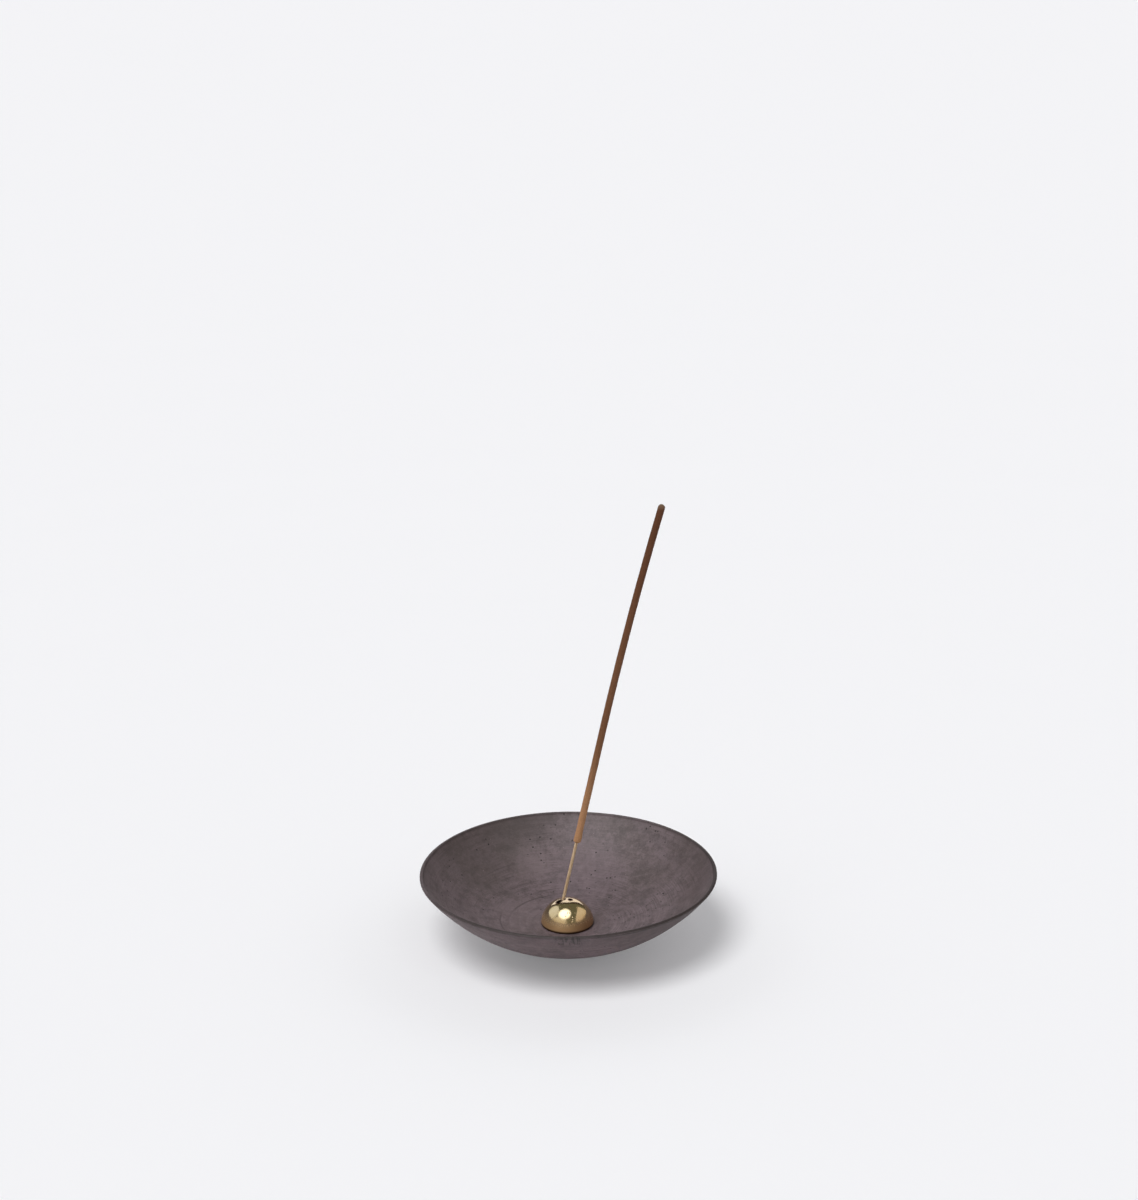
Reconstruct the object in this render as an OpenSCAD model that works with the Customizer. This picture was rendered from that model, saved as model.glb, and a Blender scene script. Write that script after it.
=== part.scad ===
// Incense burner: a shallow stoneware bowl, a solid brass half-ball with three slanting
// holes that stands loose on the bowl's floor, and one hand-rolled incense stick in the
// middle hole. Millimetres, +Z up, origin at the centre of the foot on the table.

/* [Bowl] */
// Outside diameter of the rim
rim_d = 144; // [100:1:220]
// Height from the table to the top of the lip
bowl_h = 36; // [26:0.5:60]
// Thickness of the clay at the lip
lip_t = 1.8; // [1:0.1:4]
// Upright band below the lip, before the belly curves in
lip_band = 1; // [1:0.1:6]
// Height of the inside floor above the table
floor_z = 8.2; // [6:0.1:12]
// Outside diameter of the turned foot ring
foot_d = 42; // [30:1:70]
// Height of the foot ring, up to where the belly starts
foot_h = 2.1; // [1:0.1:6]
// Width of the foot ring's flat resting face
foot_w = 4.5; // [2:0.1:9]
// Depth of the well inside the foot ring
well_h = 2.6; // [0.5:0.1:4]

/* [Stick holder] */
// Diameter of the brass half-ball
holder_d = 25.7; // [21:0.1:40]
// How far the holder stands from the bowl's centre, along X
holder_x = -0.65; // [-6:0.05:6]
// Width of the broken edge around the holder's base
base_edge = 0.3; // [0.1:0.05:1]
// Width of the flat floor left clear around the holder
seat_clear = 0.8; // [0.3:0.1:5]
// Slant of the three parallel holes from upright, towards +X
hole_lean = 12.5; // [0:0.5:20]
// Depth of each hole along its axis
hole_depth = 9.5; // [6:0.1:10]
// Diameter of the widest hole
wide_hole_d = 2.1; // [1.8:0.05:2.4]
// Diameter of the narrow spare hole
narrow_hole_d = 1.75; // [1.4:0.05:2.4]
// Brass left between the stick's hole and the wide one, in plan
wide_web = 0.6; // [0.4:0.05:1.5]
// Brass left between the stick's hole and the narrow one, in plan
narrow_web = 1.8; // [0.4:0.05:2.2]

/* [Incense stick] */
// Whole length of the stick
stick_len = 215.5; // [150:0.5:300]
// Bare core below the paste, with the end that stands in the hole
bare_len = 40.5; // [16:0.5:55]
// Diameter of the bamboo core
core_d = 1.45; // [1.1:0.05:1.8]
// Diameter of the paste
paste_d = 3.35; // [2.6:0.05:4.4]
// How far the paste sits off the core's centre, towards +X
paste_off = 0.15; // [0:0.05:0.3]
// Straight lower stretch, before the stick's slight bend starts
straight_len = 100; // [60:1:140]
// Radius of the slight bend in the upper stretch
bend_r = 2030; // [1200:10:6000]
// Solid paste above the top end of the core
tip_len = 3; // [1:0.1:8]

/* [Fits] */
// Clearance all round between the core and its hole
core_fit = 0.075; // [0.02:0.005:0.1]
// Gap between the core's lower end and the bottom of its hole
core_gap = 0.05; // [0.02:0.01:0.2]

/* [Hidden] */
$fn = 96;
over = 1;                                    // overshoot of cutting shapes

rim_r = rim_d / 2;
lip_r = lip_t / 2;
foot_r = foot_d / 2;

// The belly is a sphere through the foot's shoulder and the lower edge of the lip band.
belly_top = bowl_h - lip_band;
belly_z = (rim_r^2 - foot_r^2 + belly_top^2 - foot_h^2) / (2 * (belly_top - foot_h));
belly_r = norm([foot_r, belly_z - foot_h]);

// The inside is a flat seat for the holder, then one arc that runs up to the lip.
seat_r = holder_d / 2 + abs(holder_x) + seat_clear;
inner_run = rim_r - lip_t - seat_r;
inner_rise = bowl_h - lip_r - floor_z;
inner_r = (inner_run^2 + inner_rise^2) / (2 * inner_rise);

// The holes are placed where their axes cross the half-ball, measured from its centre.
holder_r = holder_d / 2;
stick_hole_d = core_d + 2 * core_fit;
stick_hole_at = [-1.9, 0.2];
wide_step = (stick_hole_d + wide_hole_d) / 2 + wide_web;
narrow_step = (stick_hole_d + narrow_hole_d) / 2 + narrow_web;
wide_hole_at = stick_hole_at + wide_step * [cos(213), sin(213)];
narrow_hole_at = stick_hole_at + narrow_step * [cos(349), sin(349)];

bend_len = stick_len - straight_len;
paste_r = paste_d / 2;
paste_edge = 0.7;                            // rounding of the paste's lower end
tip_step = 0.02;                             // the round tip is this much slimmer

// Point on the half-ball above a place given from its centre
function on_ball(at) = [at[0], at[1], sqrt(holder_r^2 - at[0]^2 - at[1]^2)];

// Angle that a length along the bend turns through
function turn(length) = length / bend_r * 180 / PI;

module at_holder() {
    translate([holder_x, 0, floor_z]) children();
}

// Moves children to a hole's mouth, with +Z running out of the hole.
module at_mouth(at) {
    at_holder() translate(on_ball(at)) rotate([0, hole_lean, 0]) children();
}

module hole(at, d) {
    at_mouth(at) translate([0, 0, -hole_depth]) cylinder(d = d, h = hole_depth + holder_r);
}

// Stands children on the bottom of the stick's hole, with +Z along the stick.
module at_stick() {
    at_mouth(stick_hole_at) translate([0, 0, core_gap - hole_depth]) children();
}

// Sweeps a cross-section through the bend, from its start to the given angle.
module bend(angle) {
    translate([bend_r, 0, straight_len]) rotate([90, 0, 0]) mirror([1, 0, 0])
        rotate_extrude(angle = angle, $fn = 360) translate([bend_r, 0]) children();
}

// Moves children to a place on the bend, with +Z along the stick.
module at_bend(angle) {
    translate([bend_r, 0, straight_len]) rotate([0, angle, 0]) translate([-bend_r, 0, 0])
        children();
}

module belly_outline() {
    intersection() {
        translate([0, belly_z]) circle(r = belly_r, $fn = 360);
        translate([0, foot_h]) square([rim_r, bowl_h - lip_r - foot_h]);
    }
}

module inside_outline() {
    translate([0, floor_z]) square([seat_r, bowl_h]);
    intersection() {
        translate([seat_r, floor_z + inner_r]) circle(r = inner_r, $fn = 360);
        translate([seat_r, floor_z]) square([inner_r, bowl_h]);
    }
}

module bowl() {
    color([0.38, 0.34, 0.34]) rotate_extrude() {
        difference() {
            union() {
                belly_outline();
                square([foot_r, foot_h]);
            }
            inside_outline();
            translate([0, -over]) square([foot_r - foot_w, well_h + over]);
        }
        translate([rim_r - lip_r, bowl_h - lip_r]) circle(r = lip_r, $fn = 48);
    }
}

module stick_holder() {
    color([0.80, 0.66, 0.38]) difference() {
        at_holder() rotate_extrude() difference() {
            intersection() {
                circle(r = holder_r, $fn = 180);
                square(holder_r);
            }
            polygon([
                [holder_r - base_edge, 0],
                [holder_r + over, -over],
                [holder_r + over, base_edge + over],
                [holder_r, base_edge]
            ]);
        }
        hole(stick_hole_at, stick_hole_d);
        hole(wide_hole_at, wide_hole_d);
        hole(narrow_hole_at, narrow_hole_d);
    }
}

module core_body() {
    cylinder(d = core_d, h = straight_len);
    bend(turn(bend_len - tip_len)) circle(d = core_d);
}

// Rounded lower end of the paste, its face at z = 0
module paste_foot() {
    rotate_extrude() {
        square([paste_r - paste_edge, paste_edge]);
        intersection() {
            translate([paste_r - paste_edge, paste_edge]) circle(r = paste_edge);
            square([paste_r, paste_edge]);
        }
    }
}

module bamboo_core() {
    color([0.78, 0.68, 0.50]) at_stick() core_body();
}

module incense_paste() {
    color([0.60, 0.38, 0.24]) at_stick() difference() {
        union() {
            translate([paste_off, 0, bare_len]) paste_foot();
            translate([paste_off, 0, bare_len + paste_edge])
                cylinder(r = paste_r, h = straight_len - bare_len - paste_edge);
            bend(turn(bend_len - paste_r)) translate([-paste_off, 0]) circle(r = paste_r);
            at_bend(turn(bend_len - paste_r)) translate([paste_off, 0, 0])
                sphere(r = paste_r - tip_step);
        }
        core_body();
    }
}

bowl();
stick_holder();
bamboo_core();
incense_paste();
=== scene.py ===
"""Looks of the incense burner: a thrown stoneware bowl, a turned brass half-ball with three
drilled holes, and one hand-rolled incense stick. Metres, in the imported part's own frame."""

import math

import bpy
from mathutils import Matrix, Vector, noise


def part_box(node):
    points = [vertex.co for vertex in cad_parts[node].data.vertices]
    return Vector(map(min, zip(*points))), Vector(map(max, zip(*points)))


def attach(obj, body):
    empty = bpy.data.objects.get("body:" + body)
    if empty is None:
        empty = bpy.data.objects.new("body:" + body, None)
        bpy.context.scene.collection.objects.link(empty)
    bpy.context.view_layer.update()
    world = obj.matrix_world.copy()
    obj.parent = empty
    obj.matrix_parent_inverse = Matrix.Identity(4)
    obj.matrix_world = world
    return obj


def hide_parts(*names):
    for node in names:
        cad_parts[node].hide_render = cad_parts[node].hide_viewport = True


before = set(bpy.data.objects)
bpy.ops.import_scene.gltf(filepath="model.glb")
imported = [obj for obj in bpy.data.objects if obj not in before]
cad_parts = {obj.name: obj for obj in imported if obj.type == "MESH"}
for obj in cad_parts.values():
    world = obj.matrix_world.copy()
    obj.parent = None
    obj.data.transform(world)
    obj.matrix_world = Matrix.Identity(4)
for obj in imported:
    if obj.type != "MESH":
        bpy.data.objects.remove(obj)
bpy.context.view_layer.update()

MM = 0.001

# ---------------------------------------------------------------- sizes shared with the frame

bowl_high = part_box("bowl")[1]
holder_low, holder_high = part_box("stick_holder")

RIM_R = bowl_high.x
BOWL_H = bowl_high.z
LIP_R = 0.9 * MM
LIP_BAND = 1 * MM
FOOT_R = 21 * MM
FOOT_H = 2.1 * MM
FOOT_W = 4.5 * MM
WELL_H = 2.6 * MM
FOOT_EDGE = 0.5 * MM

HOLDER_R = holder_high.z - holder_low.z
HOLDER_AT = Vector(((holder_low.x + holder_high.x) / 2, 0, holder_low.z))
BASE_EDGE = 0.5 * MM
SEAT_ROOM = 0.8 * MM

# Each hole's place from the half-ball's centre, its radius, and the width of its broken edge.
STICK_HOLE = (-1.9 * MM, 0.2 * MM, 0.8 * MM, 0.26 * MM)
WIDE_HOLE = (-3.955 * MM, -1.134 * MM, 1.05 * MM, 0.20 * MM)
NARROW_HOLE = (1.511 * MM, -0.463 * MM, 0.875 * MM, 0.09 * MM)
HOLES = (STICK_HOLE, WIDE_HOLE, NARROW_HOLE)

HOLE_DEPTH = 9.5 * MM
HOLE_LEAN = math.radians(12.5)
HOLE_UP = Vector((math.sin(HOLE_LEAN), 0, math.cos(HOLE_LEAN)))
HOLE_SIDE = Vector((math.cos(HOLE_LEAN), 0, -math.sin(HOLE_LEAN)))
HOLE_BACK = Vector((0, 1, 0))

STICK_LEN = 215.5 * MM
BARE_LEN = 40.5 * MM
CORE_R = 0.725 * MM
CORE_GAP = 0.05 * MM
PASTE_R = 1.675 * MM
PASTE_OFF = 0.15 * MM
STRAIGHT_LEN = 100 * MM
BEND_R = 2030 * MM
TIP_LEN = 3 * MM

STICK_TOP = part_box("incense_paste")[1].z
FLOOR_Z = holder_low.z
SEAT_R = HOLDER_R + abs(HOLDER_AT.x) + SEAT_ROOM


def ball_point(x, y):
    """The point of the half-ball above a place given from its centre."""
    return HOLDER_AT + Vector((x, y, math.sqrt(HOLDER_R**2 - x**2 - y**2)))


# ---------------------------------------------------------------- mesh tools

def place_mesh(name, points, faces, material):
    """A smooth-shaded object from points and faces."""
    mesh = bpy.data.meshes.new(name)
    mesh.from_pydata([tuple(p) for p in points], [], faces)
    mesh.validate()
    mesh.update()
    mesh.polygons.foreach_set("use_smooth", [True] * len(mesh.polygons))
    mesh.materials.append(material)
    thing = bpy.data.objects.new(name, mesh)
    bpy.context.scene.collection.objects.link(thing)
    return thing


def skin(rings):
    """Points and faces of a closed skin over rings of equal length; a ring of one point is a pole."""
    points, starts, faces = [], [], []
    for ring in rings:
        starts.append(len(points))
        points.extend(ring)
    for lower, upper, a, b in zip(rings, rings[1:], starts, starts[1:]):
        n = max(len(lower), len(upper))
        for i in range(n):
            j = (i + 1) % n
            if len(lower) == 1:
                faces.append((a, b + j, b + i))
            elif len(upper) == 1:
                faces.append((a + i, a + j, b))
            else:
                faces.append((a + i, a + j, b + j, b + i))
    return points, faces


def arc(centre, radius, start, end, steps):
    """Points on a circle from one angle to another, in degrees, both ends included."""
    found = []
    for k in range(steps + 1):
        a = math.radians(start + (end - start) * k / steps)
        found.append((centre[0] + radius * math.cos(a), centre[1] + radius * math.sin(a)))
    return found


def line(a, b, steps):
    """Points on a straight line after its first point."""
    return [(a[0] + (b[0] - a[0]) * k / steps, a[1] + (b[1] - a[1]) * k / steps)
            for k in range(1, steps + 1)]


def turns(count):
    """Equal turns round a full circle, in radians."""
    return [2 * math.pi * i / count for i in range(count)]


def smoothstep(low, high, x):
    """0 below low, 1 above high, and a smooth rise between them."""
    t = min(1, max(0, (x - low) / (high - low)))
    return t * t * (3 - 2 * t)


def bell(x, middle, width):
    """A smooth hump of height 1."""
    return math.exp(-((x - middle) / width) ** 2)


# ---------------------------------------------------------------- shader tools

class Value:
    """A socket in an expression: + - * / and ** with numbers or other sockets add Math nodes."""

    def __init__(self, finish, socket):
        self.finish, self.socket = finish, socket

    def _math(self, operation, *terms):
        return self.finish.node("ShaderNodeMath", {"operation": operation}, dict(enumerate(terms)))

    def __add__(self, other):
        return self._math("ADD", self, other)

    def __radd__(self, other):
        return self._math("ADD", other, self)

    def __sub__(self, other):
        return self._math("SUBTRACT", self, other)

    def __rsub__(self, other):
        return self._math("SUBTRACT", other, self)

    def __mul__(self, other):
        return self._math("MULTIPLY", self, other)

    def __rmul__(self, other):
        return self._math("MULTIPLY", other, self)

    def __truediv__(self, other):
        return self._math("DIVIDE", self, other)

    def __pow__(self, other):
        return self._math("POWER", self, other)

    def over(self, low, high):
        """0 below low, 1 above high, smooth between."""
        ends = {"Value": self, "From Min": low, "From Max": high}
        return self.finish.node("ShaderNodeMapRange", {"interpolation_type": "SMOOTHSTEP"}, ends)


class Nodes:
    """A node tree, with one method that adds any node."""

    def __init__(self, tree):
        self.tree = tree

    def put(self, socket, value):
        """Links a value to a socket, or sets the socket's own number or colour."""
        if isinstance(value, Value):
            self.tree.links.new(value.socket, socket)
        else:
            socket.default_value = value

    def node(self, kind, settings, sockets, out=0):
        """Adds a node, sets it up, fills its sockets with values or links, and returns an output."""
        made = self.tree.nodes.new(kind)
        for name, setting in settings.items():
            setattr(made, name, setting)
        for name, value in sockets.items():
            self.put(made.inputs[name], value)
        return Value(self, made.outputs[out])

    def vectors(self, operation, *terms, out=0):
        """Vector maths; the output named Value gives a length or a distance."""
        return self.node("ShaderNodeVectorMath", {"operation": operation}, dict(enumerate(terms)), out)

    def place(self):
        """The point's own place on its object, in millimetres."""
        own = self.node("ShaderNodeTexCoord", {}, {}, "Object")
        return self.node("ShaderNodeVectorMath", {"operation": "SCALE"}, {0: own, "Scale": 1 / MM})

    def stretch(self, vector, x, y, z):
        """The vector with each of its axes scaled."""
        return self.vectors("MULTIPLY", vector, (x, y, z))

    def split(self, vector):
        """The vector's X, Y and Z."""
        return [self.node("ShaderNodeSeparateXYZ", {}, {0: vector}, axis) for axis in "XYZ"]

    def join(self, x, y, z):
        """A vector from its X, Y and Z."""
        return self.node("ShaderNodeCombineXYZ", {}, {0: x, 1: y, 2: z})

    def cloud(self, vector, scale, detail, rough=0.5):
        """Noise between 0 and 1."""
        sockets = {"Vector": vector, "Scale": scale, "Detail": detail, "Roughness": rough}
        return self.node("ShaderNodeTexNoise", {}, sockets)

    def spots(self, vector, scale):
        """Distance to the nearest of many scattered points."""
        return self.node("ShaderNodeTexVoronoi", {}, {"Vector": vector, "Scale": scale})

    def mix(self, factor, a, b, blend="MIX"):
        """Colour a where factor is 0, b where it is 1."""
        settings = {"data_type": "RGBA", "blend_type": blend}
        return self.node("ShaderNodeMix", settings, {0: factor, 6: a, 7: b}, 2)

    def bump(self, height, distance, strength):
        """The surface's normal once a height is laid on it."""
        sockets = {"Height": height, "Distance": distance, "Strength": strength}
        return self.node("ShaderNodeBump", {}, sockets)


class Finish(Nodes):
    """One material, with its shader."""

    def __init__(self, name):
        self.material = bpy.data.materials.new(name)
        self.material.use_nodes = True
        super().__init__(self.material.node_tree)
        self.shader = self.tree.nodes["Principled BSDF"]

    def shade(self, **sockets):
        """Sets the shader's own sockets; an underscore in a name stands for a space."""
        for name, value in sockets.items():
            self.put(self.shader.inputs[name.replace("_", " ")], value)


def tone(red, green, blue):
    """A colour from its 0 to 255 screen values, as the shader takes it."""
    found = []
    for part in (red, green, blue):
        c = part / 255
        found.append(c / 12.92 if c <= 0.04045 else ((c + 0.055) / 1.055) ** 2.4)
    return (*found, 1.0)


# ---------------------------------------------------------------- finishes

# Darker and lighter places, partly the clay's uneven firing and partly painted shade on the left of the
# inside and the right of the outside: X, Y and reach in millimetres, share, colour.
FIRING_AND_SHADING_MARKS = (
    (-50.0, 38.0, 34.0, 0.50, tone(66, 60, 58)),
    (-30.0, 60.0, 17.0, 0.45, tone(66, 62, 59)),
    (-62.0, -2.0, 22.0, 0.35, tone(70, 61, 61)),
    (66.0, 30.0, 22.0, 0.35, tone(72, 61, 60)),
    (38.0, 30.0, 14.0, 0.18, tone(76, 70, 66)),
    (8.0, 44.0, 26.0, 0.35, tone(120, 108, 114)),
    (54.0, -30.0, 26.0, 0.48, tone(66, 55, 55)),
    (64.0, 4.0, 19.0, 0.44, tone(66, 54, 54)),
    (-16.0, 69.0, 14.0, 0.50, tone(68, 60, 60)),
    (-18.0, 47.0, 12.0, 0.36, tone(124, 113, 115)),
    (-22.0, 8.0, 20.0, 0.30, tone(118, 107, 109)),
)

# Turning grooves on the inside: radius and half width, and the depth in millimetres.
GROOVES = (
    (17.6 * MM, 0.55 * MM, 0.20),
    (21.2 * MM, 0.60 * MM, 0.30),
    (24.8 * MM, 0.60 * MM, 0.22),
    (29.2 * MM, 0.60 * MM, 0.32),
    (33.4 * MM, 0.60 * MM, 0.26),
    (40.5 * MM, 0.80 * MM, 0.14),
    (52.5 * MM, 0.90 * MM, 0.12),
)


class Stoneware(Finish):
    """Dark unglazed clay: its places, and the clouds and streaks that its marks share."""

    def __init__(self):
        super().__init__("dark_stoneware")
        self.at = self.place()
        self.x, self.y, self.z = self.split(self.at)
        self.flat = self.stretch(self.at, 1, 1, 0)
        self.r = self.vectors("LENGTH", self.flat, out="Value")
        safe_r = self.r + 0.5
        round_way = self.join(self.x / safe_r, self.y / safe_r, self.r + self.z * 0.6)
        self.fine_wipes = self.cloud(self.stretch(round_way, 2.2, 2.2, 1.5), 1.0, 4.0, 0.6)
        self.broad_wipes = self.cloud(self.stretch(round_way, 1.6, 1.6, 0.22), 1.0, 3.0)
        self.patches = self.cloud(self.at, 0.045, 4.0, 0.6)
        self.mottle = self.cloud(self.at, 0.24, 7.0, 0.68)
        self.grit = self.cloud(self.at, 1.1, 5.0, 0.72)
        facing = self.node("ShaderNodeTexCoord", {}, {}, "Normal")
        self.inside = self.split(facing)[2].over(-0.1, 0.1)
        self.outside = 1 - self.inside

    def body(self):
        """Cloudy patches, wiped rings, smudges, mottling and grit."""
        wiped_here = self.cloud(self.at, 0.04, 2.0).over(0.42, 0.62)
        wipes = self.mix(self.fine_wipes.over(0.30, 0.72), tone(74, 65, 65), tone(120, 108, 111))
        smudges = self.cloud(self.stretch(self.at, 0.7, 1.0, 1.3), 0.14, 6.0, 0.72)
        colour = self.mix(self.patches.over(0.36, 0.62), tone(90, 80, 80), tone(104, 93, 97))
        colour = self.mix(wiped_here * 0.48 + 0.16, colour, wipes)
        colour = self.mix(self.broad_wipes.over(0.50, 0.68) * 0.28, colour, tone(118, 106, 109))
        colour = self.mix(smudges.over(0.49, 0.60) * 0.38, colour, tone(62, 58, 57))
        colour = self.mix(self.mottle.over(0.50, 0.62) * 0.44, colour, tone(62, 54, 54))
        colour = self.mix((1 - self.mottle.over(0.36, 0.48)) * 0.38, colour, tone(124, 111, 115))
        colour = self.mix(self.grit.over(0.50, 0.66) * 0.34, colour, tone(56, 48, 48))
        return self.mix((1 - self.grit.over(0.34, 0.44)) * 0.16, colour, tone(130, 116, 118))

    def painted_groove_shade(self, colour):
        """Painted shade: dark broken lines along the turning grooves, stronger towards the left."""
        drift = self.r + (self.broad_wipes - 0.5) * 1.6
        for middle, _, depth in GROOVES:
            off = drift - middle / MM
            groove = 1 - (off * off).over(0.02, 0.30)
            apart = self.join(self.x * 0.035, self.y * 0.035, middle / MM)
            # Painted shade in the grooves, broken up and stronger towards the left.
            lopsided_shade = self.cloud(apart, 1.0, 2.0).over(0.42, 0.60) * (1.15 - self.x.over(-25.0, 15.0))
            colour = self.mix(groove * lopsided_shade * self.inside * (2.0 * depth), colour, tone(48, 41, 42))
        return colour

    def firing_and_shading_marks(self, colour):
        """Broad darker and lighter places with ragged edges: partly uneven firing, partly painted shade.
        """
        for spot_x, spot_y, reach, share, shade in FIRING_AND_SHADING_MARKS:
            away = self.vectors("DISTANCE", self.flat, (spot_x, spot_y, 0), out="Value")
            ragged = away + (self.mottle + self.patches) * 0.5 * reach
            colour = self.mix((1 - ragged.over(0.75 * reach, 1.6 * reach)) * share, colour, shade)
        return colour

    def pits(self):
        """Where small pits have opened."""
        pit_here = self.cloud(self.at, 0.045, 2.0).over(0.48, 0.56)
        return (1 - self.spots(self.at, 0.30).over(0.11, 0.17)) * pit_here

    def specks(self):
        """Where pale grains show."""
        grains = self.spots(self.stretch(self.at, 1.0, 1.0, 1.3), 0.55)
        return (1 - grains.over(0.05, 0.11)) * self.cloud(self.at, 0.11, 1.0).over(0.52, 0.62)

    def nicks(self):
        """Where a knife has nicked the clay, under the lip at the front."""
        knife = self.cloud(self.stretch(self.at, 1.5, 0.2, 0.16), 1.0, 2.0).over(0.50, 0.57)
        front = (1 - (self.x * self.x).over(16.0, 60.0)) * (1 - self.y.over(-66.0, -60.0))
        return knife * (front * self.z.over(29.0, 31.5))

    def painted_edge_shade(self, colour):
        """Painted shade round the edges: a dark lip, partly the clay's own darker lip and partly painted
        shade towards the front right; painted shade under the lip; and on the outside a redder tint and
        painted shade that darkens it downwards and to the right."""
        top = BOWL_H / MM
        # Painted shade: on the outside the lip's dark band reaches further down towards the right.
        outer_right_shade = self.outside * self.x.over(-10.0, 55.0)
        lip_low = top - 1.5 + self.inside * 0.5 - outer_right_shade * 1.2
        lip_high = top - 0.6 + self.inside * 0.2 - outer_right_shade * 0.8
        lip = self.z.over(lip_low, lip_high)
        # Painted shade: a darker band under the lip, inside and out.
        painted_shade_under_lip = self.z.over(top - 12.0, top - 1.0)
        colour = self.mix(painted_shade_under_lip * 0.24, colour, tone(66, 57, 58))
        # The lip is darker all round in its own colour, and darker still towards the front right as
        # painted shade.
        lip_shade_side = (self.x * 0.6 - self.y).over(-40.0, 40.0)
        colour = self.mix(lip * (0.30 + lip_shade_side * 0.62), colour, tone(33, 24, 24))
        # Painted shade: the outside darkens towards the bottom, where the belly turns under towards the
        # floor.
        belly = 1 - self.z.over(4.0, 17.0)
        colour = self.mix(self.outside * belly * 0.6, colour, tone(42, 33, 33))
        colour = self.mix(self.outside, colour, (0.93, 0.84, 0.83, 1), "MULTIPLY")
        # Painted shade on the right of the outside.
        painted_shade_right = self.outside * self.x.over(5.0, 62.0)
        return self.mix(painted_shade_right * 0.55, colour, tone(54, 42, 42))


def stoneware():
    """Unglazed dark clay, wiped and turned, fired unevenly, with dark pits and pale specks, and painted
    shade in its grooves, round its lip, on its outside and among its fired marks.
    """
    clay = Stoneware()
    colour = clay.firing_and_shading_marks(clay.painted_groove_shade(clay.body()))
    pits = clay.pits()
    specks = clay.specks()
    nicks = clay.nicks()
    colour = clay.mix(specks * 0.65, colour, tone(168, 157, 153))
    colour = clay.mix(pits * 0.95, colour, tone(24, 18, 17))
    colour = clay.mix(nicks * 0.9, colour, tone(34, 27, 27))
    colour = clay.mix(1.0, clay.painted_edge_shade(colour), (0.98, 0.90, 0.93, 1), "MULTIPLY")
    height = clay.fine_wipes * 0.30 + clay.grit * 0.50 + clay.mottle * 0.25
    height = height - pits * 1.8 + specks * 0.3 - nicks * 1.4
    clay.shade(Base_Color=colour, Roughness=0.54 + clay.grit * 0.16, Specular_IOR_Level=0.5)
    clay.shade(Normal=clay.bump(height, 0.09 * MM, 0.8))
    return clay.material


def dark_mouth_rings(brass, own, ragged, colour):
    """Dark rings round the mouths of the holes."""
    for hole_x, hole_y, radius, mouth in HOLES:
        mouth_at = (ball_point(hole_x, hole_y) - HOLDER_AT) / MM
        aside = brass.vectors("SUBTRACT", own, mouth_at)
        across = brass.vectors("CROSS_PRODUCT", aside, HOLE_UP)
        off = brass.vectors("LENGTH", across, out="Value")
        edge = (radius + mouth) / MM
        mouth_ring = 1 - (off + ragged * 0.4).over(edge + 0.40, edge + 0.85)
        colour = brass.mix(mouth_ring * 0.92, colour, (0.075, 0.034, 0.015, 1))
    return colour


def turned_brass():
    """Polished brass, duller and browner towards its base, tarnished, and dented at the front, with
    painted shade on its lower right side and a painted contact shadow along its base.
    """
    brass = Finish("turned_brass")
    centre = tuple(-c / MM for c in HOLDER_AT)
    own = brass.vectors("ADD", brass.place(), centre)
    x, y, z = brass.split(own)
    tarnish = brass.cloud(own, 0.22, 4.0, 0.6)
    fine = brass.cloud(own, 1.2, 5.0, 0.65)
    turning = brass.cloud(brass.stretch(own, 0.06, 0.06, 3.2), 1.0, 4.0, 0.7)
    scratches = brass.cloud(brass.stretch(own, 5.0, 0.7, 1.5), 1.0, 3.0, 0.7)
    low = 1 - z.over(2.0, 9.0)
    # Painted contact shadow: a near black band round the bottom of the ball.
    base = 1 - z.over(0.75, 1.5)
    colour = brass.mix(tarnish.over(0.35, 0.70), (0.86, 0.735, 0.50, 1), (0.80, 0.66, 0.41, 1))
    colour = brass.mix(low * 0.9, colour, (0.76, 0.49, 0.235, 1))
    # Painted shade on the lower right side of the ball.
    lopsided_shade = low * x.over(0.0, 11.0)
    colour = brass.mix(lopsided_shade * 0.75, colour, (0.36, 0.20, 0.10, 1))
    colour = brass.mix(fine.over(0.55, 0.80) * 0.25, colour, (0.52, 0.38, 0.22, 1))
    colour = brass.mix(base * 0.95, colour, (0.035, 0.018, 0.010, 1))
    colour = dark_mouth_rings(brass, own, fine, colour)
    handled = (1 - y.over(-9.5, -6.0)) * (1 - (x - 0.8).over(2.5, 5.0)) * (x + 2.5).over(0.0, 2.0)
    dents = (1 - brass.spots(own, 0.9).over(0.08, 0.36)) * (0.25 + handled * z.over(2.0, 4.5))
    rough = 0.095 + low * 0.22 + tarnish.over(0.4, 0.8) * 0.05 + fine.over(0.5, 0.8) * 0.08
    height = turning * 0.4 + fine * 0.6 + scratches * 0.25 - dents * 8.0
    brass.shade(Base_Color=colour, Roughness=rough, Metallic=1 - low * 0.16)
    brass.shade(Normal=brass.bump(height, 0.014 * MM, 0.6))
    return brass.material


def hole_wall():
    """The inside of the drilled holes: brass painted near black as the shade deep in the holes, in faint
    patches.
    """
    hole_shade = Finish("drilled_hole")
    dark_patches = hole_shade.cloud(hole_shade.place(), 1.3, 3.0, 0.6)
    colour = hole_shade.mix(dark_patches.over(0.4, 0.7), (0.006, 0.004, 0.003, 1), (0.020, 0.012, 0.007, 1))
    hole_shade.shade(Base_Color=colour, Roughness=0.75 + dark_patches * 0.2, Specular_IOR_Level=0.1)
    return hole_shade.material


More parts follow.
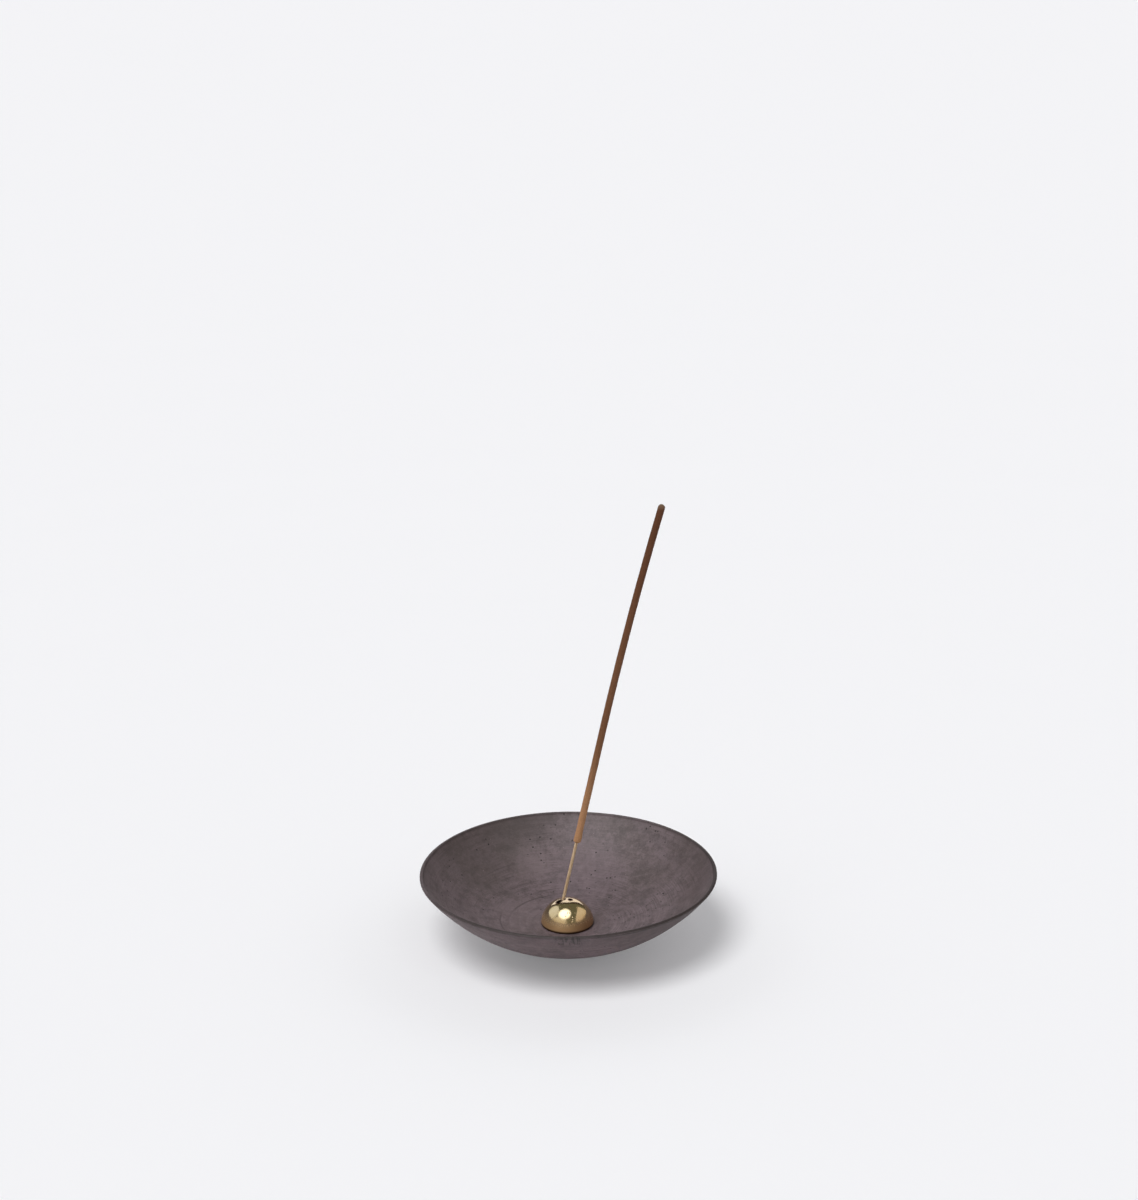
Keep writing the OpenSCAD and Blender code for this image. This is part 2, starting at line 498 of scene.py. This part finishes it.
def bamboo():
    """Split bamboo: long pale fibres with darker streaks."""
    wood = Finish("split_bamboo")
    at = wood.place()
    fibres = wood.cloud(wood.stretch(at, 3.2, 3.2, 0.10), 1.0, 4.0, 0.6)
    patches = wood.cloud(wood.stretch(at, 1.0, 1.0, 0.25), 1.0, 3.0, 0.6)
    colour = wood.mix(fibres.over(0.30, 0.70), tone(186, 150, 112), tone(232, 206, 168))
    colour = wood.mix(patches.over(0.54, 0.75) * 0.45, colour, tone(166, 122, 84))
    wood.shade(Base_Color=colour, Roughness=0.55 + fibres * 0.2)
    wood.shade(Normal=wood.bump(fibres, 0.05 * MM, 0.7))
    return wood.material


def incense():
    """Rolled incense paste: tan at the lower end, dark brown upwards, pale at the tip, with a dry
    grain."""
    paste = Finish("incense_paste")
    at = paste.place()
    z = paste.split(at)[2]
    top = STICK_TOP / MM
    grain = paste.cloud(at, 2.6, 4.0, 0.7)
    lumps = paste.cloud(at, 0.5, 3.0, 0.6)
    colour = paste.mix(z.over(49.0, 112.0), tone(187, 140, 101), tone(113, 75, 49))
    colour = paste.mix(z.over(110.0, 215.0), colour, tone(90, 53, 30))
    colour = paste.mix(grain.over(0.42, 0.75) * 0.45, colour, (0.42, 0.38, 0.33, 1), "MULTIPLY")
    colour = paste.mix((1 - grain.over(0.25, 0.45)) * 0.30, colour, (1.7, 1.7, 1.7, 1), "MULTIPLY")
    colour = paste.mix(lumps.over(0.45, 0.70) * 0.30, colour, (0.82, 0.78, 0.74, 1), "MULTIPLY")
    colour = paste.mix(z.over(top - 3.0, top) * 0.5, colour, tone(128, 108, 90))
    paste.shade(Base_Color=colour, Roughness=0.78 + grain * 0.12, Specular_IOR_Level=0.3)
    paste.shade(Normal=paste.bump(grain * 0.7 + lumps * 0.5, 0.10 * MM, 0.8))
    return paste.material


# ---------------------------------------------------------------- the bowl

BOWL_TURNS = 336
BOWL_STEP = 0.62 * MM

# The marks of the maker's hands: how wide and, in millimetres, how deep each kind is.
RINGS = (1.9 * MM, 0.045)
SWELLS = (6.5 * MM, 0.10)
LUMPS = (9 * MM, 0.05)
SPIRAL = 0.35 * MM
LIP_WAVER = 0.16 * MM
LIP_SWAY = 0.14 * MM


def bowl_outline():
    """The bowl's section, from the middle of the well, out and up the belly, over the lip and down
    to the middle of the inside floor."""
    belly_top = BOWL_H - LIP_BAND
    belly_z = (RIM_R**2 - FOOT_R**2 + belly_top**2 - FOOT_H**2) / (2 * (belly_top - FOOT_H))
    belly_r = math.hypot(FOOT_R, belly_z - FOOT_H)
    run = RIM_R - 2 * LIP_R - SEAT_R
    rise = BOWL_H - LIP_R - FLOOR_Z
    inside_r = (run**2 + rise**2) / (2 * rise)
    lip_at = (RIM_R - LIP_R, BOWL_H - LIP_R)

    def steps(length):
        """How many pieces a stretch of this length is cut into."""
        return max(2, round(length / BOWL_STEP))

    foot_in = FOOT_R - FOOT_W
    e = FOOT_EDGE
    outline = [(0, WELL_H)]
    outline += line((0, WELL_H), (foot_in - e, WELL_H), steps(foot_in))
    outline += arc((foot_in - e, WELL_H - e), e, 90, 0, 4)[1:]
    outline += line((foot_in, WELL_H - e), (foot_in, e), 3)
    outline += arc((foot_in + e, e), e, 180, 270, 4)[1:]
    outline += line((foot_in + e, 0), (FOOT_R - e, 0), 6)
    outline += arc((FOOT_R - e, e), e, 270, 360, 4)[1:]
    outline += line((FOOT_R, e), (FOOT_R, FOOT_H), 3)
    start = math.degrees(math.atan2(FOOT_H - belly_z, FOOT_R))
    end = math.degrees(math.atan2(belly_top - belly_z, RIM_R))
    belly_steps = steps(belly_r * math.radians(end - start))
    outline += arc((0, belly_z), belly_r, start, end, belly_steps)[1:]
    outline += arc(lip_at, LIP_R, 0, 180, 12)
    top = math.degrees(math.atan2(-inside_r + rise, run))
    inside_steps = steps(inside_r * math.radians(90 + top))
    outline += arc((SEAT_R, FLOOR_Z + inside_r), inside_r, top, -90, inside_steps)[1:]
    outline += line((SEAT_R, FLOOR_Z), (0, FLOOR_Z), steps(SEAT_R))
    return outline


def clay_marks(r, z, turn, inner):
    """How far the maker's hands moved the surface, in metres, at a radius, height and turn."""
    way = r + 0.6 * z + SPIRAL * turn
    side = Vector((math.cos(turn), math.sin(turn), 0))
    rings = noise.noise(Vector((way / RINGS[0], 7.0 if inner else 3.0, 0)) + side * 0.35)
    swells = noise.noise(Vector((way / SWELLS[0], 11.0 if inner else 5.0, 0)) + side * 0.5)
    lumps = noise.noise(Vector((r * side.x, r * side.y, z)) / LUMPS[0])
    move = RINGS[1] * rings + SWELLS[1] * swells + LUMPS[1] * lumps
    if inner:
        for middle, width, depth in GROOVES:
            wander = 0.5 * MM * noise.noise(side * 1.3 + Vector((middle / MM, 0, 0)))
            fade = 0.55 + 0.45 * noise.noise(side * 1.7 + Vector((0, middle / MM, 3)))
            move -= depth * fade * bell(r, middle + wander, width)
    return move * MM


def bowl(material):
    """A thin thrown bowl with a turned foot; its lip wavers a little."""
    outline = bowl_outline()
    peak = max(range(len(outline)), key=lambda k: outline[k][1])
    rings = []
    for k, (r, z) in enumerate(outline):
        if r == 0:
            rings.append([Vector((0, 0, z))])
            continue
        before, after = outline[max(0, k - 1)], outline[min(len(outline) - 1, k + 1)]
        along = Vector((after[0] - before[0], after[1] - before[1])).normalized()
        out_r, out_z = along.y, -along.x
        inner = k > peak
        calm = smoothstep(SEAT_R - 0.2 * MM, SEAT_R + 2.5 * MM, r) if inner else smoothstep(0, 3 * MM, z)
        near_lip = smoothstep(BOWL_H - 5 * MM, BOWL_H, z)
        ring = []
        for turn in turns(BOWL_TURNS):
            side = Vector((math.cos(turn), math.sin(turn), 0))
            move = clay_marks(r, z, turn, inner) * calm * (1 - 0.7 * near_lip)
            waver = LIP_WAVER * noise.noise(side * 1.9 + Vector((0, 0, 4.2))) * near_lip
            sway = LIP_SWAY * noise.noise(side * 1.4 + Vector((0, 0, 9.1))) * near_lip
            where = side * (r + out_r * move + sway)
            where.z = z + out_z * move + waver
            ring.append(where)
        rings.append(ring)
    points, faces = skin(rings)
    return place_mesh("bowl_stoneware", points, faces, material)


# ---------------------------------------------------------------- the brass half-ball

BALL_TURNS = 240
BALL_ROWS = 84
HOLE_TURNS = 56
DRILL_ABOVE = 3 * MM


def drill(name, x, y, radius, mouth, material):
    """The shape that a drill takes away, with its mouth broken all round."""
    tip = ball_point(x, y)

    def surface(out, turn):
        """How far above the tip the ball's surface is, at a distance and turn round the axis."""
        spot = tip + (HOLE_SIDE * math.cos(turn) + HOLE_BACK * math.sin(turn)) * out - HOLDER_AT
        reach = spot.dot(HOLE_UP)
        return math.sqrt(reach**2 - spot.length_squared + HOLDER_R**2) - reach

    def ring(level):
        """Points at the distance and height that level gives for each turn."""
        points = []
        for turn in turns(HOLE_TURNS):
            out, up = level(turn)
            side = HOLE_SIDE * math.cos(turn) + HOLE_BACK * math.sin(turn)
            points.append(tip + side * out + HOLE_UP * up)
        return points

    def edge(q):
        """The broken edge, from the bore at 0 to the ball at 1, and straight on past it."""
        def level(t):
            low = (radius, surface(radius, t) - mouth)
            bend = (radius, surface(radius, t) - 0.36 * mouth)
            high = (radius + mouth, surface(radius + mouth, t))
            if q > 1:
                return high[0] + (high[0] - bend[0]) * (q - 1), high[1] + (high[1] - bend[1]) * (q - 1)
            return tuple((1 - q)**2 * a + 2 * q * (1 - q) * b + q * q * c
                         for a, b, c in zip(low, bend, high))
        return level

    rings = [[tip - HOLE_UP * HOLE_DEPTH]]
    rings.append(ring(lambda t: (radius, -HOLE_DEPTH)))
    rings.append(ring(lambda t: (radius, -HOLE_DEPTH / 2)))
    rings += [ring(edge(q)) for q in (0, 0.2, 0.4, 0.6, 0.8, 1, 1.4)]
    rings.append(ring(lambda t: (edge(1.4)(t)[0], DRILL_ABOVE)))
    rings.append([tip + HOLE_UP * DRILL_ABOVE])
    points, faces = skin(rings)
    return place_mesh(name, points, faces, material)


def cut_holes(solid, drills):
    """Takes the drilled shapes out of the solid and keeps the result as its mesh."""
    for tool in drills:
        cut = solid.modifiers.new(tool.name, "BOOLEAN")
        cut.operation, cut.solver, cut.object = "DIFFERENCE", "EXACT", tool
    ready = solid.evaluated_get(bpy.context.evaluated_depsgraph_get())
    mesh = bpy.data.meshes.new_from_object(ready)
    solid.modifiers.clear()
    solid.data = mesh
    for tool in drills:
        bpy.data.objects.remove(tool)


def true_normals(solid):
    """Gives the ball's faces the normals of a true ball, so that it mirrors cleanly, and the holes'
    walls their own finish."""
    mesh = solid.data
    tolerance = 0.02 * MM
    wall_depth = 0.12 * MM
    above_base = HOLDER_AT.z + 2 * MM
    drilled = {}
    kinds = []
    for face in mesh.polygons:
        middle = face.center - HOLDER_AT
        if abs(middle.length - HOLDER_R) < tolerance and face.normal.dot(middle.normalized()) > 0.985:
            kinds.append("ball")
        else:
            kinds.append("other")
            in_hole = face.center.z > above_base and middle.length < HOLDER_R - wall_depth
            face.material_index = 1 if in_hole else 0
            for v in face.vertices:
                drilled[v] = drilled.get(v, Vector()) + face.normal * face.area
    normals = [None] * len(mesh.loops)
    for face, kind in zip(mesh.polygons, kinds):
        for k in face.loop_indices:
            v = mesh.loops[k].vertex_index
            if kind == "ball":
                normals[k] = (mesh.vertices[v].co - HOLDER_AT).normalized()
            else:
                smooth = drilled[v].normalized()
                normals[k] = smooth if smooth.dot(face.normal) > 0.5 else face.normal.copy()
    mesh.polygons.foreach_set("use_smooth", [True] * len(mesh.polygons))
    mesh.normals_split_custom_set(normals)


def half_ball(material, inside):
    """A turned half-ball with a broken base edge and three parallel slanting holes."""
    e = BASE_EDGE
    section = [(0, 0)] + line((0, 0), (HOLDER_R - e, 0), 12)
    section += arc((HOLDER_R - e, e), e, 270, 360, 5)[1:]
    first = math.degrees(math.asin(e / HOLDER_R))
    section += arc((0, 0), HOLDER_R, first, 90, BALL_ROWS)[1:-1]
    section.append((0, HOLDER_R))
    rings = []
    for r, z in section:
        if r == 0:
            rings.append([HOLDER_AT + Vector((0, 0, z))])
            continue
        rings.append([HOLDER_AT + Vector((r * math.cos(t), r * math.sin(t), z))
                      for t in turns(BALL_TURNS)])
    points, faces = skin(rings)
    ball = place_mesh("stick_holder_brass", points, faces, material)
    drills = [drill(f"drill_{k}", *hole, inside) for k, hole in enumerate(HOLES)]
    cut_holes(ball, drills)
    ball.data.materials.clear()
    ball.data.materials.append(material)
    ball.data.materials.append(inside)
    true_normals(ball)
    return ball


# ---------------------------------------------------------------- the incense stick

CORE_TURNS = 28
CORE_STEP = 0.8 * MM
PASTE_TURNS = 40
PASTE_STEP = 0.5 * MM
CHANNEL_R = 0.985 * CORE_R
STICK_FOOT = ball_point(*STICK_HOLE[:2]) - HOLE_UP * (HOLE_DEPTH - CORE_GAP)


def on_stick(along, out, turn, off=0.0):
    """A point at a length along the stick's curve, at a distance and turn round it."""
    angle = max(0.0, along - STRAIGHT_LEN) / BEND_R
    straight = min(along, STRAIGHT_LEN)
    middle = STICK_FOOT + HOLE_UP * (straight + BEND_R * math.sin(angle))
    middle += HOLE_SIDE * BEND_R * (1 - math.cos(angle))
    side = HOLE_SIDE * math.cos(angle) - HOLE_UP * math.sin(angle)
    return middle + side * (off + out * math.cos(turn)) + HOLE_BACK * out * math.sin(turn)


def bamboo_core(material):
    """A split and scraped bamboo core, with flats and fibres along it."""
    end = STICK_LEN - TIP_LEN
    rings = [[on_stick(0, 0, 0)]]
    lengths = [0, 0.12 * MM]
    lengths += [CORE_STEP * k for k in range(1, int(end / CORE_STEP))]
    for along in lengths:
        ring = []
        for t in turns(CORE_TURNS):
            side = Vector((math.cos(t), math.sin(t), along / (26 * MM)))
            flats = noise.noise(side * 1.1)
            fibres = noise.noise(Vector((side.x * 3.4, side.y * 3.4, along / (14 * MM))))
            shave = 1.03 - 0.035 * abs(flats) - 0.045 * max(0, fibres)
            broken = 0.85 if along == 0 else 1
            ring.append(on_stick(along, CORE_R * shave * broken, t))
        rings.append(ring)
    rings.append([on_stick(end, 0, 0)])
    points, faces = skin(rings)
    return place_mesh("bamboo_core_splint", points, faces, material)


def paste_lump(along, turn):
    """Uneven hand rolling and dry grain, as a share of the paste's radius."""
    side = Vector((math.cos(turn), math.sin(turn), 0))
    rolled = noise.noise(side * 0.8 + Vector((0, 0, along / (11 * MM))))
    grain = noise.noise(side * 3.2 + Vector((0, 0, along / (0.9 * MM))))
    return 1 + 0.022 * rolled + 0.020 * grain


def incense_coat(material):
    """Rolled paste round the core: blunt lower end, uneven sides, and a rounded tip with a nick."""
    top = STICK_LEN - TIP_LEN
    rings = [[on_stick(top, 0, 0)]]
    channel_stops = (top, 180 * MM, 150 * MM, 125 * MM, STRAIGHT_LEN, 70 * MM, BARE_LEN + 0.25 * MM)
    for along in channel_stops:
        rings.append([on_stick(along, CHANNEL_R, t) for t in turns(PASTE_TURNS)])
    foot_edge = 0.75 * MM
    foot = [(CHANNEL_R / PASTE_R + 0.04, 0.22 * MM), (0.62, 0.06 * MM)]
    foot += [(1 - foot_edge / PASTE_R * (1 - math.cos(a)), foot_edge * (1 - math.sin(a)))
             for a in (math.radians(d) for d in (80, 60, 45, 30, 15, 0))]
    body_top = STICK_LEN - PASTE_R
    rows = [(BARE_LEN + lift, share) for share, lift in foot]
    first = rows[-1][0]
    count = round((body_top - first) / PASTE_STEP)
    rows += [(first + (body_top - first) * k / count, 1.0) for k in range(1, count + 1)]
    rows += [(body_top + PASTE_R * math.sin(a), math.cos(a))
             for a in (math.radians(d) for d in (15, 30, 45, 57, 68, 78))]
    for along, share in rows:
        swell = 1 + 0.07 * bell(along, BARE_LEN + 2.2 * MM, 2.5 * MM)
        off = PASTE_OFF * smoothstep(CHANNEL_R, PASTE_R, share * PASTE_R)
        ring = []
        for t in turns(PASTE_TURNS):
            nick = 0.16 * bell(t, math.pi * 1.5, 0.5) * bell(along, STICK_LEN - 0.4 * MM, 0.8 * MM)
            bulge = 0.10 * bell(along, BARE_LEN + 2.4 * MM, 2.2 * MM) * max(0, math.cos(t))
            out = PASTE_R * share * swell * paste_lump(along, t) * (1 - nick) + PASTE_R * bulge * share
            ring.append(on_stick(along, out, t, off))
        rings.append(ring)
    rings.append([on_stick(STICK_LEN, 0, 0, PASTE_OFF)])
    points, faces = skin(rings)
    return place_mesh("incense_paste_coat", points, faces, material)


# ---------------------------------------------------------------- stage, light and camera

FLOOR_HALF = 14.0
FLOOR_COLOUR = (0.759, 0.759, 0.773, 1)
FLOOR_GLOW = 0.179
COOL_WHITE = (1.0, 1.0, 1.018, 1)
BACKDROP = (0.8963, 0.8963, 0.9131, 1)
BLACK = (0, 0, 0, 1)
WALL_TOP = (math.radians(40), math.radians(54))
WALL_LIGHT = 0.64
BACK_WALL_EXTRA = 0.30
DIM_ROOM = (0.13, 0.125, 0.085, 1)

# Each light's power, and the turn from +X and the height, in degrees, that it comes from.
KEY_LIGHT = (1.98, 236, 61)
SECOND_LIGHT = (0.23, 308, 62)
CLAY_SHEEN = (2.28, 238, 58)
LIGHT_SPREAD = math.radians(32)

# What the brass mirrors: colour, strength, distance, softness, and each corner's turn from +X and
# height, in degrees.
MIRROR_CARDS = (
    ("card_key", (1.0, 0.96, 0.90), 2.1, 0.9, 0.60,
     ((192, 46), (212, 37), (247, 37), (283, 46), (302, 60), (325, 76), (168, 82))),
    ("card_left", (1.0, 0.98, 0.92), 0.70, 0.9, 0.35,
     ((134, 22), (147, 13), (170, 13), (192, 19), (205, 40), (192, 60), (138, 52))),
    ("card_front_left", (1.0, 0.92, 0.76), 0.62, 0.9, 0.5,
     ((192, 10), (192, 18), (206, 38), (246, 40), (264, 40), (270, 10))),
    ("card_right", (1.0, 0.84, 0.66), 0.62, 0.9, 0.0,
     ((36, 12), (15, 11), (-4, 16), (-28, 19), (-49, 24), (-40, 40), (-21, 49), (8, 53),
      (34, 50))),
    ("card_back", (1.0, 0.93, 0.97), 0.98, 0.9, 0.0,
     ((127, -5), (125, 28), (110, 48), (90, 55), (70, 44), (55, 14), (53, -5))),
    ("card_back_frame", (1.0, 0.6, 0.35), 0.035, 1.5, 0.0,
     ((136, -5), (134, 31), (120, 56), (90, 64), (60, 53), (44, 16), (42, -5))),
)


def pale_floor():
    """Seamless pale ground."""
    ground = Finish("pale_floor")
    ground.shade(Base_Color=FLOOR_COLOUR, Roughness=1.0, Specular_IOR_Level=0.0)
    ground.shade(Emission_Color=COOL_WHITE, Emission_Strength=FLOOR_GLOW)
    return ground.material


def floor(material):
    """A wide flat ground under the object."""
    h = FLOOR_HALF
    corners = [(-h, -h, 0), (h, -h, 0), (h, h, 0), (-h, h, 0)]
    ground = place_mesh("floor", corners, [(0, 1, 2, 3)], material)


def toward(azimuth, elevation):
    """A direction from its turn from +X and its height above the horizon, in degrees."""
    a, e = math.radians(azimuth), math.radians(elevation)
    return Vector((math.cos(a) * math.cos(e), math.sin(a) * math.cos(e), math.sin(e)))


def mirror_card(name, corners, colour, strength, away, soft):
    """A glowing card that only the polished metal mirrors, given by the directions of its corners;
    a soft one fades from its middle towards its edge."""
    middle = HOLDER_AT + Vector((0, 0, HOLDER_R / 2))
    points = [middle + toward(*corner) * away for corner in corners]
    heart = sum(points, Vector()) / len(points)
    reach = max((point - heart).length for point in points)
    glow = Finish(name)
    own = glow.node("ShaderNodeTexCoord", {}, {}, "Object")
    out = glow.vectors("DISTANCE", own, heart, out="Value")
    fade = out.over(reach * (1 - soft), reach) if soft else 0.0
    bright = (*(part * strength for part in colour), 1)
    light = glow.mix(fade, bright, DIM_ROOM)
    glow.shade(Base_Color=BLACK, Roughness=1.0, Emission_Color=light, Emission_Strength=1.0)
    card = place_mesh(name, points, [tuple(range(len(points)))], glow.material)
    card.visible_camera = False
    card.visible_diffuse = False
    card.visible_shadow = False
    card.visible_transmission = False


def sun(name, energy, azimuth, elevation):
    """A broad soft light from a direction."""
    light = bpy.data.lights.new(name, "SUN")
    light.energy = energy
    light.angle = LIGHT_SPREAD
    lamp = bpy.data.objects.new(name, light)
    lamp.rotation_euler = toward(azimuth, elevation).to_track_quat("Z", "Y").to_euler()
    bpy.context.scene.collection.objects.link(lamp)
    return lamp


def surroundings():
    """Pale walls on all sides, brightest at the back, and a dark ceiling. The camera sees a plain
    backdrop, and mirror reflections see a dim room, against which the cards stand out."""
    world = bpy.data.worlds.new("room")
    world.use_nodes = True
    room = Nodes(world.node_tree)
    way = room.node("ShaderNodeTexCoord", {}, {}, "Generated")
    x, y, z = room.split(way)
    to_back = y / (x * x + y * y + 0.001) ** 0.5
    below_ceiling = 1 - z.over(math.sin(WALL_TOP[0]), math.sin(WALL_TOP[1]))
    wall = (WALL_LIGHT + BACK_WALL_EXTRA * to_back) * below_ceiling
    fill = room.mix(wall, BLACK, COOL_WHITE)
    camera_ray = room.node("ShaderNodeLightPath", {}, {}, "Is Camera Ray")
    glossy_ray = room.node("ShaderNodeLightPath", {}, {}, "Is Glossy Ray")
    seen = room.mix(camera_ray, fill, BACKDROP)
    seen = room.mix(glossy_ray, seen, DIM_ROOM)
    room.put(room.tree.nodes["Background"].inputs["Color"], seen)
    bpy.context.scene.world = world


def studio_light(clay_piece):
    """A broad soft key from the front left, a weaker one from the front right, the key's sheen on the
    clay, plain fill from all round, and the mirrored cards."""
    key = sun("key", *KEY_LIGHT)
    key.visible_glossy = False
    second = sun("second", *SECOND_LIGHT)
    second.visible_glossy = False
    sheen = sun("sheen_on_clay", *CLAY_SHEEN)
    sheen.visible_diffuse = False
    lit = bpy.data.collections.new("clay")
    lit.objects.link(clay_piece)
    sheen.light_linking.receiver_collection = lit

    surroundings()
    for name, colour, strength, away, soft, corners in MIRROR_CARDS:
        mirror_card(name, corners, colour, strength, away, soft)


CAMERA_AT = Vector((0, -1.1716, 0.58235))
CAMERA_PITCH = math.radians(19.169)
CAMERA_YAW = math.radians(0.085)
CAMERA_ROLL = math.radians(-0.595)
CAMERA_LENS = 79.57
CAMERA_SENSOR = 36


def camera():
    """Looks down at the bowl from the front, with a slight tilt."""
    data = bpy.data.cameras.new("camera")
    data.lens, data.sensor_width = CAMERA_LENS, CAMERA_SENSOR
    data.clip_start, data.clip_end = 0.05, 60
    eye = bpy.data.objects.new("camera", data)
    turn = Matrix.Rotation(-CAMERA_YAW, 4, "Z")
    tilt = Matrix.Rotation(math.radians(90) - CAMERA_PITCH, 4, "X")
    roll = Matrix.Rotation(CAMERA_ROLL, 4, "Z")
    eye.matrix_world = Matrix.Translation(CAMERA_AT) @ turn @ tilt @ roll
    bpy.context.scene.collection.objects.link(eye)
    bpy.context.scene.camera = eye
    bpy.context.scene.view_settings.view_transform = "Standard"


# ---------------------------------------------------------------- put it together

def settle(piece, body, node):
    """Hangs a piece on the body it rides on and hides the CAD node it stands in for."""
    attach(piece, body)
    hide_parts(node)


camera()
floor(pale_floor())
clay_bowl = bowl(stoneware())
studio_light(clay_bowl)
settle(clay_bowl, "bowl", "bowl")
settle(half_ball(turned_brass(), hole_wall()), "holder", "stick_holder")
core = bamboo_core(bamboo())
core.visible_glossy = False
settle(core, "stick", "bamboo_core")
settle(incense_coat(incense()), "stick", "incense_paste")
